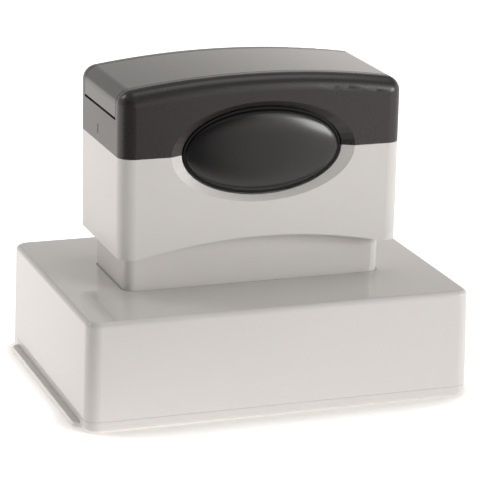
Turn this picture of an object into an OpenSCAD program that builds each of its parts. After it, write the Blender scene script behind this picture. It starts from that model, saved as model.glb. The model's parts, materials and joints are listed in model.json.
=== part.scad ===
// Pre-inked desk stamp. An open-bottomed skirt guides a sprung plunger that carries an inked foam die.
// A palm handle with a lift-off cap stands on the plunger's neck, and a flat dust cover closes the mouth.
// Millimetres, +Z up. The origin is the centre of the footprint, on the surface that the cover stands on.
// The front, with the oval badge, faces -Y.

/* [Skirt] */
// Length of the skirt along X
skirt_w = 120; // [108:1:140]
// Depth of the skirt along Y
skirt_d = 86.6; // [78:0.1:105]
// Height of the skirt, from its mouth to the top of its deck
skirt_h = 31.6; // [30:0.1:40]
// Wall of the skirt
skirt_wall = 2.2; // [2:0.1:3]
// Thickness of the deck
deck_t = 2.4; // [1.8:0.1:3.4]
// Radius of the skirt's upright corners
skirt_corner_r = 4.2; // [3.4:0.1:8]
// Radius of the rounded edge round the deck
deck_edge_r = 1.6; // [0.8:0.1:2.2]

/* [Dust cover] */
// Height of the ledge that the skirt's mouth stands on
cover_seat = 1.8; // [1.4:0.1:2.6]
// Height of the cover's rim above the ledge
rim_h = 1.5; // [0.8:0.1:2]
// Thickness of the rim
rim_t = 1; // [0.7:0.05:1.2]
// Depth of the shallow well under the die
cover_well = 0.8; // [0.4:0.1:1]
// Radius of the rounded edge under the cover
cover_edge_r = 1.2; // [0.6:0.1:1.4]
// Reach of the finger lip past the end wall
lip_out = 2; // [1.5:0.1:5]
// Length of the finger lip
lip_len = 72; // [40:1:78]
// Thickness of the finger lip
lip_t = 1.5; // [1:0.1:1.8]
// Radius of the finger lip's corners
lip_corner_r = 2.4; // [1:0.1:4]

/* [Neck] */
// Wall of the plunger's neck
neck_wall = 2; // [1.6:0.1:3]
// Radius of the neck's upright corners
neck_corner_r = 3.2; // [2:0.1:4]

/* [Handle] */
// Length of the handle along X
handle_w = 88.7; // [82:0.1:96]
// Depth of the handle along Y
handle_d = 44.8; // [40:0.1:50]
// Overhang of the handle past each end of the neck
overhang_x = 3.4; // [3:0.1:5]
// Overhang of the handle past the neck's front and back
overhang_y = 6.4; // [5:0.1:7]
// Radius of the handle's upright corners and of the cap's rounded edges
handle_corner_r = 4.6; // [4:0.1:6]
// Wall of the handle and of its cap
handle_wall = 2.2; // [1.8:0.1:2.6]
// Height of the handle's body, from its feet to the joint with the cap
handle_body_h = 30.7; // [28:0.1:38]
// Rise of the arch under the handle's front and back
arch_rise = 4.6; // [2:0.1:7]
// Width of the arch between its springings
arch_w = 78; // [60:1:80]
// Depth of the filling chamber below the joint with the cap
chamber_depth = 10; // [8:0.5:14]
// Thickness of the web that seats on the neck
web_t = 2.4; // [1.8:0.1:3.4]
// Height of the collar under the web that the neck plugs into
collar_h = 3; // [2:0.5:6]
// Thickness of that collar
collar_t = 1.4; // [1:0.1:1.8]
// Height of the spigot that the cap slides over
spigot_h = 4; // [2.5:0.5:6]
// Thickness of the spigot
spigot_t = 1.4; // [1:0.1:2]

/* [Cap] */
// Height of the cap at the middle of its crown
cap_h = 22.9; // [20:0.1:30]
// Radius of the crown along X
crown_r = 275; // [200:5:600]
// Depth of the strip over the crown, along Y
strip_d = 32; // [26:0.5:34]
// Thickness of the strip
strip_t = 1.2; // [0.8:0.1:1.4]
// Distance of the strip's feet above the joint with the handle
strip_foot = 11.5; // [9:0.1:13]
// Gap round the strip
strip_gap = 0.25; // [0.15:0.05:0.5]
// Width of the slit in each end of the cap
slit_w = 0.6; // [0.4:0.1:1]
// Height of that slit
slit_h = 3; // [2:0.1:5]
// Height of the slit above the joint with the handle
slit_up = 2.4; // [1.5:0.1:4]
// Distance of the slit from the middle, towards the back
slit_y = 1.9; // [0:0.1:6]

/* [Badge] */
// Length of the oval badge
badge_w = 50; // [40:0.5:54]
// Height of the oval badge
badge_h = 26.6; // [20:0.2:30]
// Border of the bevelled dish at the ends of the badge
dish_border_x = 4; // [2:0.1:5]
// Border of the bevelled dish above and below the badge
dish_border_z = 2; // [1:0.1:2.6]
// Depth of the dish
dish_depth = 1.7; // [1:0.1:2]
// Thickness of the badge's plate
badge_t = 1.4; // [1:0.1:1.8]
// Width of the plate's rim round the dome
badge_rim = 1.5; // [1:0.1:3]
// Rise of the dome above the plate
dome_rise = 2.8; // [1:0.1:3.4]
// Gap round the badge
badge_gap = 0.3; // [0.2:0.05:0.6]
// Wall behind the badge
badge_back = 1.4; // [1:0.1:2]

/* [Press stroke] */
// Stroke of the plunger
stroke = 6; // [4:0.5:7]
// Room left under the handle at the end of the stroke
stroke_room = 5.5; // [3:0.1:9]
// Gap round the neck in the deck
neck_gap = 0.35; // [0.25:0.05:0.6]
// Diameter of the guide posts under the deck
post_d = 4.2; // [3.8:0.1:5]
// Radial gap between a post and its hole in the plunger
post_gap = 0.1; // [0.05:0.01:0.1]
// Distance of the posts from the skirt's front and back walls
post_inset = 10; // [7:0.5:16]
// Wire of the return springs
spring_wire = 0.8; // [0.6:0.05:0.9]
// Turns of a return spring
spring_turns = 8; // [6:1:8]
// Length of a return spring at rest
spring_len = 16; // [15:0.5:18]
// Radial gap between a spring and its post
spring_post_gap = 0.4; // [0.3:0.05:0.6]
// Gap at each end of a spring
spring_end_gap = 0.05; // [0.02:0.01:0.1]
// Thickness of the washers under the springs
washer_t = 0.8; // [0.5:0.1:1.2]
// Step of a washer past its spring
washer_step = 0.3; // [0.1:0.05:0.5]
// Gap on each side of the washers
bay_gap = 0.6; // [0.4:0.1:1.2]

/* [Die] */
// Thickness of the plunger's plate
plate_t = 3; // [2:0.1:4]
// Wall of the tray under the plate
tray_wall = 1.8; // [1.2:0.1:2.4]
// Thickness of the foam die with its relief
die_t = 7; // [6:0.1:8]
// Thickness of the die's flange
die_flange_t = 2.4; // [1.6:0.1:3]
// Width of the die's flange
die_flange = 3; // [2:0.1:5]
// Height of the relief on the die
relief_h = 0.6; // [0.3:0.1:1]
// Thickness of the perforated plate behind the die
backing_t = 1.6; // [1:0.1:2.4]
// Wall of the frame that holds the die
frame_wall = 1.6; // [1.2:0.1:2]
// Thickness of that frame's lip under the die's flange
frame_lip_t = 1.6; // [1:0.1:2]
// Height of that frame's wall above its lip
frame_h = 7; // [5:0.5:9]
// Gap between the die frame and the skirt's front and back walls
die_side_gap = 3; // [2:0.1:6]
// Gap round the pieces in the tray
tray_gap = 0.2; // [0.1:0.05:0.4]

/* [Ink wells] */
// Outer diameter of an ink well's tube
well_d = 11; // [9:0.2:14]
// Wall of that tube
well_wall = 1.5; // [1.2:0.1:2]
// Distance of the wells from the middle
well_x = 17; // [14:0.5:20]
// Width of the well's flange past its tube
well_flange = 2.5; // [1.5:0.1:4]
// Thickness of the well's flange
well_flange_t = 1.6; // [1:0.1:2.4]
// Depth of the stopper in its well
stopper_depth = 4; // [2:0.5:7]
// Thickness of the stopper's head
stopper_head_t = 2; // [1.2:0.1:3]
// Diameter of the stopper's stem
stem_d = 4; // [3:0.1:5]
// Length of the stopper's stem
stem_len = 7; // [4:0.5:12]
// Wall of the cap's posts round the stems
cap_post_wall = 2; // [1.4:0.1:3]

/* [Screws] */
// Diameter of the handle's screws
handle_screw_d = 2.9; // [2.4:0.1:3.4]
// Length of the handle's screws under the head
handle_screw_len = 12; // [8:0.5:18]
// Distance of the handle's screws from the middle
handle_screw_x = 32; // [30:0.5:34]
// Diameter of the columns that take the handle's screws
column_d = 7; // [6:0.1:9]
// Diameter of the posts' screws
post_screw_d = 2; // [1.6:0.1:2.4]
// Length of the posts' screws under the head
post_screw_len = 8; // [5:0.5:11]

/* [Hidden] */
$fn = 64;
// Sides of the ovals, and facets of the crown's large arc
oval_sides = 48;
crown_fn = 256;
// Overshoot of a cut past the face that it opens
cut = 1;
// Least radius of an inner corner, and thickness of a slice that only marks a level
least_r = 0.4;
slice = 0.01;

// Colours as seen in daylight
shell_grey = [0.82, 0.81, 0.79];
cap_black = [0.16, 0.155, 0.155];
strip_black = [0.22, 0.215, 0.21];
badge_black = [0.08, 0.08, 0.085];
inner_grey = [0.62, 0.62, 0.6];
felt_white = [0.78, 0.76, 0.7];
foam_pink = [0.83, 0.62, 0.6];
rubber_grey = [0.3, 0.3, 0.31];
steel = [0.72, 0.72, 0.74];

// Clearances inside the assembly
rim_gap = 0.15;
rebate_gap = 0.1;
snap_gap = 0.1;
collar_gap = 0.15;
spigot_gap = 0.2;
bore_gap = 0.1;
pilot_gap = 0.05;
stopper_gap = 0.2;
stopper_bore_gap = 0.25;
print_gap = 0.4;
plate_wall_gap = 0.6;
badge_floor_gap = 0.2;

// Levels, from the surface that the cover stands on
rim_top_z = cover_seat + rim_h;
deck_top_z = cover_seat + skirt_h;
deck_under_z = deck_top_z - deck_t;
plate_under_z = deck_under_z - plate_t;
post_end_z = plate_under_z - spring_len;
die_face_z = cover_seat + stroke;
die_top_z = die_face_z + die_t;
flange_under_z = die_top_z - die_flange_t;
backing_top_z = die_top_z + backing_t;
handle_foot_z = deck_top_z + stroke + stroke_room;
joint_z = handle_foot_z + handle_body_h;
web_top_z = joint_z - chamber_depth;
neck_top_z = web_top_z - web_t;
crown_top_z = joint_z + cap_h;
well_rim_z = web_top_z + well_flange_t;
stopper_seat_z = well_rim_z + stopper_gap;
cap_post_end_z = stopper_seat_z + stopper_head_t;

// Skirt and cover
inner_w = skirt_w - 2 * skirt_wall;
inner_d = skirt_d - 2 * skirt_wall;
inner_corner_r = skirt_corner_r - skirt_wall;
rebate = rim_t + rim_gap;

// Springs and their posts, set in from the end walls by a washer and its gap
spring_r = post_d / 2 + spring_post_gap + spring_wire / 2;
washer_r = spring_r + spring_wire / 2 + washer_step;
post_x = inner_w / 2 - bay_gap - washer_r;
post_y = inner_d / 2 - post_inset;

// Die, frame and tray, from the space between the washers inwards
frame_w = 2 * (post_x - washer_r - bay_gap);
frame_d = inner_d - 2 * die_side_gap;
tray_w = frame_w - 2 * (frame_wall + snap_gap);
tray_d = frame_d - 2 * (frame_wall + snap_gap);
tray_in_w = tray_w - 2 * tray_wall;
tray_in_d = tray_d - 2 * tray_wall;
die_w = tray_in_w - 2 * tray_gap;
die_d = tray_in_d - 2 * tray_gap;
print_w = die_w - 2 * die_flange;
print_d = die_d - 2 * die_flange;
plate_w = inner_w - 2 * plate_wall_gap;
plate_corner_r = 3;
tray_corner_r = 2;

// Handle and neck
neck_w = handle_w - 2 * overhang_x;
neck_d = handle_d - 2 * overhang_y;
arch_r = (arch_w * arch_w / 4 + arch_rise * arch_rise) / (2 * arch_rise);
handle_in_w = handle_w - 2 * handle_wall;
handle_in_d = handle_d - 2 * handle_wall;
handle_in_r = handle_corner_r - handle_wall;
spigot_w = handle_in_w - 2 * spigot_gap;
spigot_d = handle_in_d - 2 * spigot_gap;
spigot_r = handle_in_r - spigot_gap;
spigot_root = 3;

// Centres of the cap's ball corners, and the crown's tilt above them
ball_x = handle_w / 2 - handle_corner_r;
ball_y = handle_d / 2 - handle_corner_r;
crown_axis_z = crown_top_z - crown_r;
ball_rise = sqrt(pow(crown_r - handle_corner_r, 2) - pow(ball_x, 2));
ball_z = crown_axis_z + ball_rise;
crown_tilt = asin(ball_x / (crown_r - handle_corner_r));

// Badge and the dish round it
dish_w = badge_w + 2 * dish_border_x;
dish_h = badge_h + 2 * dish_border_z;
pocket_w = badge_w + 2 * badge_gap;
pocket_h = badge_h + 2 * badge_gap;
pocket_depth = dish_depth + badge_t;
boss_border = 1.4;
boss_depth = pocket_depth + badge_floor_gap + badge_back;
dome_steps = 6;
dome_last_angle = 85;
dome_seat = 0.4;

// Strip over the cap
strip_foot_z = joint_z + strip_foot;
strip_shadow = 0.8;

// Wells, stoppers and screws
well_bore_r = well_d / 2 - well_wall;
screw_tip = 0.5;
head_h_share = 0.75;
recess_w = 0.45;

// Outlines and plain blocks

module round_rect(w, d, r) {
    square([w - 2 * r, d], center = true);
    square([w, d - 2 * r], center = true);
    for (sx = [-1, 1], sy = [-1, 1]) translate([sx * (w / 2 - r), sy * (d / 2 - r)]) circle(r);
}

module slab(w, d, r, z0, z1) {
    translate([0, 0, z0]) linear_extrude(z1 - z0) round_rect(w, d, r);
}

module ring_wall(w, d, r, wall, z0, z1) {
    translate([0, 0, z0]) linear_extrude(z1 - z0) difference() {
        round_rect(w, d, r);
        round_rect(w - 2 * wall, d - 2 * wall, max(r - wall, least_r));
    }
}

module rod(r, x, y, z0, z1) {
    translate([x, y, z0]) cylinder(r = r, h = z1 - z0);
}

module quarter_disc(r) {
    intersection() {
        circle(r);
        square(r);
    }
}

// A quarter-round bar along X, of length len, that rounds an edge facing -Y and +Z
module edge_bar(len, r) {
    rotate([90, 0, -90]) linear_extrude(len, center = true) quarter_disc(r);
}

// A block with upright corners of radius rv and an edge of radius re rolled round its top
module round_edged_block(w, d, h, rv, re) {
    slab(w, d, rv, 0, h - re);
    slab(w - 2 * re, d - 2 * re, rv - re, h - re, h);
    for (turn = [0, 180]) rotate(turn) {
        translate([0, re - d / 2, h - re]) edge_bar(w - 2 * rv, re);
        translate([w / 2 - re, 0, h - re]) rotate(90) edge_bar(d - 2 * rv, re);
        translate([w / 2 - rv, d / 2 - rv, h - re]) {
            rotate_extrude(angle = 90) translate([rv - re, 0]) quarter_disc(re);
        }
        translate([w / 2 - rv, rv - d / 2, h - re]) rotate(-90) {
            rotate_extrude(angle = 90) translate([rv - re, 0]) quarter_disc(re);
        }
    }
}

module oval(w, h) {
    polygon([for (i = [0 : oval_sides - 1]) let (a = 360 * i / oval_sides) [w / 2 * cos(a), h / 2 * sin(a)]]);
}

// An oval slab on the handle's front, from the deeper level to the shallower one, both measured from the face
module front_oval(w, h, deep, shallow) {
    translate([0, deep - handle_d / 2, joint_z]) rotate([90, 0, 0]) linear_extrude(deep - shallow) oval(w, h);
}

// Outer form of the cap, moved inwards by an inset: a crown with rolled edges and ball corners

// Drop of the crown's surface at a distance x from the middle
function crown_drop(x) = crown_r - sqrt(crown_r * crown_r - x * x);

// Section along X above the corners' centres, drawn from the crown's axis
module crown_section(r_edge, r_crown) {
    meet_x = r_crown * sin(crown_tilt);
    intersection() {
        circle(r_crown, $fn = crown_fn);
        translate([-meet_x, ball_rise]) square([2 * meet_x, cap_h]);
    }
    for (left = [0, 1]) mirror([left, 0]) translate([ball_x, ball_rise]) quarter_disc(r_edge);
}

// Rolled edge along the front, swept round the crown's axis
module crown_edge(r_edge, r_crown) {
    rotate([90, 0, 0]) rotate(90 - crown_tilt) rotate_extrude(angle = 2 * crown_tilt, $fn = crown_fn) {
        translate([r_crown - r_edge, 0]) quarter_disc(r_edge);
        translate([ball_rise - cut, 0]) square([r_crown - r_edge - ball_rise + cut, r_edge]);
    }
}

module cap_form(inset, z0) {
    r_edge = handle_corner_r - inset;
    r_crown = crown_r - inset;
    slab(handle_w - 2 * inset, handle_d - 2 * inset, r_edge, z0, ball_z);
    translate([0, 0, crown_axis_z]) rotate([90, 0, 0]) {
        linear_extrude(2 * ball_y, center = true) crown_section(r_edge, r_crown);
    }
    for (back = [0, 1]) mirror([0, back, 0]) {
        translate([0, -ball_y, crown_axis_z]) crown_edge(r_edge, r_crown);
        for (left = [0, 1]) mirror([left, 0, 0]) translate([ball_x, -ball_y, ball_z]) rotate([90, 0, 0]) {
            rotate_extrude(angle = 90 - crown_tilt) quarter_disc(r_edge);
        }
    }
}

// Space above the strip's feet, over the strip's depth
module strip_space(grow, foot_drop) {
    d = strip_d + 2 * grow;
    translate([-handle_w / 2 - cut, -d / 2, strip_foot_z - foot_drop]) {
        cube([handle_w + 2 * cut, d, crown_top_z - strip_foot_z + foot_drop + cut]);
    }
}

// Bevelled dish and pocket for the badge, cut into the cap and the handle alike
module badge_cut(floor_gap) {
    hull() {
        front_oval(dish_w, dish_h, 0, -cut);
        front_oval(pocket_w, pocket_h, dish_depth, dish_depth - slice);
    }
    front_oval(pocket_w, pocket_h, pocket_depth + floor_gap, dish_depth - cut / 2);
}

module badge_boss(z0, z1) {
    intersection() {
        front_oval(dish_w + 2 * boss_border, dish_h + 2 * boss_border, boss_depth, handle_wall / 2);
        translate([-handle_w / 2, -handle_d / 2, z0]) cube([handle_w, handle_d, z1 - z0]);
    }
}

// Places that repeat

module at_posts() {
    for (sx = [-1, 1], sy = [-1, 1]) translate([sx * post_x, sy * post_y, 0]) children();
}

// A pan-head screw, its head's seat at z = 0 and its shank along +Z
module screw(d, len) {
    head_r = d;
    head_h = head_h_share * d;
    difference() {
        union() {
            cylinder(r = d / 2, h = len - screw_tip);
            translate([0, 0, len - screw_tip]) cylinder(r1 = d / 2, r2 = d / 4, h = screw_tip);
            translate([0, 0, -head_h]) cylinder(r = head_r, h = head_h);
        }
        for (turn = [0, 90]) rotate(turn) translate([-head_r / 2, -recess_w / 2, -head_h - cut]) {
            cube([head_r, recess_w, cut + head_h / 2]);
        }
    }
}

// Skirt group

module skirt_shell() {
    color(shell_grey) {
        difference() {
            translate([0, 0, cover_seat]) {
                round_edged_block(skirt_w, skirt_d, skirt_h, skirt_corner_r, deck_edge_r);
            }
            slab(inner_w, inner_d, inner_corner_r, cover_seat - cut, deck_under_z);
            slab(neck_w + 2 * neck_gap, neck_d + 2 * neck_gap, neck_corner_r + neck_gap,
                deck_under_z - cut, deck_top_z + cut);
            ring_wall(skirt_w + 2 * cut, skirt_d + 2 * cut, skirt_corner_r + cut, rebate + cut,
                cover_seat - cut, rim_top_z + rebate_gap);
        }
        difference() {
            at_posts() rod(post_d / 2, 0, 0, post_end_z, deck_top_z - deck_t / 2);
            at_posts() rod(post_screw_d / 2 + pilot_gap, 0, 0, post_end_z - cut, post_end_z + post_screw_len);
        }
    }
}

// Return spring: one open coil, swept ring by ring along its helix
coil_rings = 8;
coil_sides = 6;
coil_steps = spring_turns * coil_rings;
coil_low_z = post_end_z + spring_end_gap + spring_wire / 2;
coil_high_z = plate_under_z - spring_end_gap - spring_wire / 2;
function coil_centre(i) = let (a = 360 * i / coil_rings)
    [spring_r * cos(a), spring_r * sin(a), coil_low_z + (coil_high_z - coil_low_z) * i / coil_steps];
function coil_point(i, j) = let (a = 360 * i / coil_rings, b = 360 * j / coil_sides, c = coil_centre(i))
    c + spring_wire / 2 * [cos(b) * cos(a), cos(b) * sin(a), sin(b)];
coil_gap = min([for (i = [0 : coil_steps], k = [coil_rings / 2 : coil_steps]) if (i + k <= coil_steps)
    norm(coil_centre(i + k) - coil_centre(i))]) - spring_wire;
echo(return_spring_least_gap = coil_gap);

module spring_coil() {
    points = [for (i = [0 : coil_steps], j = [0 : coil_sides - 1]) coil_point(i, j)];
    sides = [for (i = [0 : coil_steps - 1], j = [0 : coil_sides - 1], half = [0, 1])
        let (
            near = i * coil_sides + j,
            next = i * coil_sides + (j + 1) % coil_sides
        )
        half == 0 ? [near, next, near + coil_sides] : [next, next + coil_sides, near + coil_sides]];
    last = coil_steps * coil_sides;
    ends = [for (j = [1 : coil_sides - 2], end = [0, 1])
        end == 0 ? [0, j + 1, j] : [last, last + j, last + j + 1]];
    polyhedron(points, concat(sides, ends));
}

module return_spring(sx, sy) {
    color(steel) translate([sx * post_x, sy * post_y, 0]) spring_coil();
}

module return_spring_front_left() { return_spring(-1, -1); }
module return_spring_front_right() { return_spring(1, -1); }
module return_spring_back_left() { return_spring(-1, 1); }
module return_spring_back_right() { return_spring(1, 1); }

module spring_washers() {
    color(steel) at_posts() difference() {
        rod(washer_r, 0, 0, post_end_z - washer_t, post_end_z);
        rod(post_screw_d / 2 + bore_gap, 0, 0, post_end_z - washer_t - cut, post_end_z + cut);
    }
}

module post_screws() {
    color(steel) at_posts() translate([0, 0, post_end_z - washer_t]) screw(post_screw_d, post_screw_len);
}

// Dust cover

module dust_cover() {
    color(shell_grey) {
        difference() {
            translate([0, 0, rim_top_z]) mirror([0, 0, 1]) {
                round_edged_block(skirt_w, skirt_d, rim_top_z, skirt_corner_r, cover_edge_r);
            }
            slab(skirt_w - 2 * rim_t, skirt_d - 2 * rim_t, skirt_corner_r - rim_t, cover_seat, rim_top_z + cut);
            slab(inner_w, inner_d, inner_corner_r, cover_seat - cover_well, rim_top_z + cut);
        }
        difference() {
            slab(skirt_w + 2 * lip_out, lip_len, lip_corner_r, 0, lip_t);
            translate([0, 0, lip_t / 2]) {
                cube([skirt_w - 2 * cover_edge_r, lip_len + 2 * cut, lip_t + 2 * cut], center = true);
            }
        }
    }
}

// Plunger group

module plunger() {
    column_low_z = plate_under_z + plate_t / 2;
    color(shell_grey) difference() {
        union() {
            slab(plate_w, frame_d, plate_corner_r, plate_under_z, deck_under_z);
            ring_wall(tray_w, tray_d, tray_corner_r, tray_wall, flange_under_z, plate_under_z + plate_t / 2);
            ring_wall(neck_w, neck_d, neck_corner_r, neck_wall, column_low_z, neck_top_z);
            for (side = [-1, 1]) rod(column_d / 2, side * handle_screw_x, 0, column_low_z, neck_top_z);
        }
        at_posts() rod(post_d / 2 + post_gap, 0, 0, plate_under_z - cut, deck_under_z + cut);
        for (side = [-1, 1]) {
            rod(well_d / 2 + bore_gap, side * well_x, 0, plate_under_z - cut, deck_under_z + cut);
            rod(handle_screw_d / 2 + pilot_gap, side * handle_screw_x, 0,
                web_top_z - handle_screw_len - cut, neck_top_z + cut);
        }
    }
}

module ink_pad() {
    color(felt_white) slab(die_w, die_d, tray_corner_r, backing_top_z, plate_under_z);
}

module die_backing() {
    hole_r = 3;
    columns = 5;
    rows = 3;
    color(inner_grey) difference() {
        slab(die_w, die_d, tray_corner_r, die_top_z, backing_top_z);
        for (i = [0 : columns - 1], j = [0 : rows - 1]) {
            rod(hole_r, print_w * ((i + 0.5) / columns - 0.5), print_d * ((j + 0.5) / rows - 0.5),
                die_top_z - cut, backing_top_z + cut);
        }
    }
}

// The relief is a plain border round four bars
module print_die() {
    relief_top_z = die_face_z + relief_h;
    border_in = 2.5;
    border_t = 1.6;
    bar_h = 4;
    bar_lengths = [0.5, 0.7, 0.7, 0.35];
    color(foam_pink) {
        slab(die_w, die_d, tray_corner_r, flange_under_z, die_top_z);
        slab(print_w, print_d, tray_corner_r, relief_top_z, flange_under_z + die_flange_t / 2);
        ring_wall(print_w - 2 * border_in, print_d - 2 * border_in, tray_corner_r, border_t,
            die_face_z, relief_top_z + relief_h);
        for (i = [0 : len(bar_lengths) - 1]) {
            y = print_d * (0.5 - (i + 1) / (len(bar_lengths) + 1));
            translate([-print_w * bar_lengths[i] / 2, y - bar_h / 2, die_face_z]) {
                cube([print_w * bar_lengths[i], bar_h, 2 * relief_h]);
            }
        }
    }
}

module die_frame() {
    lip_under_z = flange_under_z - frame_lip_t;
    lip_w = (frame_w - print_w) / 2 - print_gap;
    color(inner_grey) {
        ring_wall(frame_w, frame_d, tray_corner_r + frame_wall, lip_w, lip_under_z, flange_under_z);
        ring_wall(frame_w, frame_d, tray_corner_r + frame_wall, frame_wall, lip_under_z, flange_under_z + frame_h);
    }
}

module ink_well(side) {
    color(inner_grey) difference() {
        union() {
            rod(well_d / 2, side * well_x, 0, plate_under_z, well_rim_z);
            rod(well_d / 2 + well_flange, side * well_x, 0, web_top_z, well_rim_z);
        }
        rod(well_bore_r, side * well_x, 0, plate_under_z - cut, well_rim_z + cut);
    }
}

module ink_well_left() { ink_well(-1); }
module ink_well_right() { ink_well(1); }

module handle_body() {
    collar_w = neck_w + 2 * (collar_gap + collar_t);
    collar_d = neck_d + 2 * (collar_gap + collar_t);
    color(shell_grey) difference() {
        union() {
            ring_wall(handle_w, handle_d, handle_corner_r, handle_wall, handle_foot_z, joint_z);
            slab(handle_w - handle_wall, handle_d - handle_wall, handle_corner_r - handle_wall / 2,
                neck_top_z, web_top_z);
            ring_wall(collar_w, collar_d, neck_corner_r + collar_gap + collar_t, collar_t,
                neck_top_z - collar_h, neck_top_z + web_t / 2);
            difference() {
                union() {
                    ring_wall(spigot_w, spigot_d, spigot_r, spigot_t, joint_z - spigot_root, joint_z + spigot_h);
                    ring_wall(handle_in_w + handle_wall, handle_in_d + handle_wall,
                        handle_in_r + handle_wall / 2, spigot_t + spigot_gap + handle_wall / 2,
                        joint_z - spigot_root, joint_z);
                }
                translate([-dish_w / 2 - 2 * boss_border, -handle_d / 2, joint_z - cut / 2]) {
                    cube([dish_w + 4 * boss_border, handle_d / 2, spigot_h + cut]);
                }
            }
            badge_boss(neck_top_z, joint_z);
        }
        translate([0, 0, handle_foot_z + arch_rise - arch_r]) rotate([90, 0, 0]) {
            cylinder(r = arch_r, h = handle_d + 2 * cut, center = true, $fn = crown_fn);
        }
        badge_cut(badge_floor_gap);
        for (side = [-1, 1]) {
            rod(well_d / 2 + bore_gap, side * well_x, 0, neck_top_z - cut, web_top_z + cut);
            rod(handle_screw_d / 2 + 2 * bore_gap, side * handle_screw_x, 0, neck_top_z - cut, web_top_z + cut);
        }
    }
}

module handle_screws() {
    color(steel) for (side = [-1, 1]) translate([side * handle_screw_x, 0, web_top_z]) mirror([0, 0, 1]) {
        screw(handle_screw_d, handle_screw_len);
    }
}

// Cap group

module top_cap() {
    roof_mid = (strip_t + handle_wall) / 2;
    cap_post_r = stem_d / 2 + cap_post_wall;
    post_top_z = crown_top_z - crown_drop(well_x + cap_post_r) - roof_mid;
    color(cap_black) difference() {
        union() {
            difference() {
                cap_form(0, joint_z);
                cap_form(handle_wall, joint_z - cut);
            }
            badge_boss(joint_z, crown_top_z);
            for (side = [-1, 1]) rod(cap_post_r, side * well_x, 0, cap_post_end_z, post_top_z);
        }
        difference() {
            strip_space(strip_gap, strip_shadow);
            cap_form(strip_t, joint_z);
        }
        badge_cut(0);
        for (side = [-1, 1]) {
            rod(stem_d / 2 + pilot_gap, side * well_x, 0, cap_post_end_z - cut, cap_post_end_z + stem_len + cut);
            translate([side * handle_w / 2, slit_y, joint_z + slit_up + slit_h / 2]) {
                cube([2 * (handle_wall + cut), slit_w, slit_h], center = true);
            }
        }
    }
}

module cap_strip() {
    color(strip_black) intersection() {
        difference() {
            cap_form(0, joint_z);
            cap_form(strip_t, joint_z - cut);
        }
        strip_space(0, 0);
    }
}

module badge_plate() {
    color(cap_black) difference() {
        front_oval(badge_w, badge_h, pocket_depth, dish_depth);
        front_oval(badge_w - 2 * badge_rim, badge_h - 2 * badge_rim, dish_depth + dome_seat, dish_depth - cut);
    }
}

module badge_dome() {
    w = badge_w - 2 * badge_rim;
    h = badge_h - 2 * badge_rim;
    base = dish_depth + dome_seat;
    color(badge_black) hull() for (i = [0 : dome_steps]) {
        a = dome_last_angle * i / dome_steps;
        front_oval(w * cos(a), h * cos(a), base, dish_depth - dome_rise * sin(a));
    }
}

module stopper(side) {
    color(rubber_grey) {
        rod(well_bore_r - stopper_bore_gap, side * well_x, 0, stopper_seat_z - stopper_depth, cap_post_end_z);
        rod(well_d / 2, side * well_x, 0, stopper_seat_z, cap_post_end_z);
        rod(stem_d / 2, side * well_x, 0, stopper_seat_z, cap_post_end_z + stem_len);
    }
}

module stopper_left() { stopper(-1); }
module stopper_right() { stopper(1); }

skirt_shell();
return_spring_front_left();
return_spring_front_right();
return_spring_back_left();
return_spring_back_right();
spring_washers();
post_screws();
dust_cover();
plunger();
ink_pad();
die_backing();
print_die();
die_frame();
ink_well_left();
ink_well_right();
handle_body();
handle_screws();
top_cap();
cap_strip();
badge_plate();
badge_dome();
stopper_left();
stopper_right();
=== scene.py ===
"""Pre-inked desk stamp, dressed: finishes, an eased skirt and cover, modelled springs, felt, foam die and badge.

Lengths are metres in the part's own frame, with +Z up and the badge facing -Y.
"""
import contextlib
import json
import math

import bmesh
import bpy
from mathutils import Matrix, Vector


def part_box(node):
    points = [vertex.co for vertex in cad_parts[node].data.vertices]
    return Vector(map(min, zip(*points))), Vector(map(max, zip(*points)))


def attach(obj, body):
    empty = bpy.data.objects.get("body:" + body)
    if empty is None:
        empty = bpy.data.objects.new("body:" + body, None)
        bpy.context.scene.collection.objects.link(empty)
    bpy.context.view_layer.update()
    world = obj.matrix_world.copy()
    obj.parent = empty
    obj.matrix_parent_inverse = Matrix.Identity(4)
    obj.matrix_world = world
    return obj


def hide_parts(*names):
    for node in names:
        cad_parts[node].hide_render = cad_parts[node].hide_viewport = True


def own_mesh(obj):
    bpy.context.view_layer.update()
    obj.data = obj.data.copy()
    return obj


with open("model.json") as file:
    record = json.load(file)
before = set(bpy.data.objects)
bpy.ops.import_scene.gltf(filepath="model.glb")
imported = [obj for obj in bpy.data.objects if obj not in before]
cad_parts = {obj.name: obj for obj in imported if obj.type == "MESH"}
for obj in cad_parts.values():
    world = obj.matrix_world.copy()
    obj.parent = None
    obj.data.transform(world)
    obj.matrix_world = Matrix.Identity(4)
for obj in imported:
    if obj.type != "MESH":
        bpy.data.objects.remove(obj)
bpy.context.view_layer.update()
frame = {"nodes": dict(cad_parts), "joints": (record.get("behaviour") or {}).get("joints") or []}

bl_info = {
    "name": "Pre-inked stamp",
    "version": (1, 0, 0),
    "blender": (4, 5, 0),
    "location": "View3D > Sidebar > Stamp",
    "description": "Dresses a pre-inked desk stamp: finishes, springs, felt, foam die, badge and studio stage",
    "category": "Object",
}

SPRING_NODES = [name for name in sorted(frame["nodes"]) if name.startswith("return_spring")]
PRESS = next(joint for joint in frame["joints"] if joint["name"] == "press")


# Settings that a user would change

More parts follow.
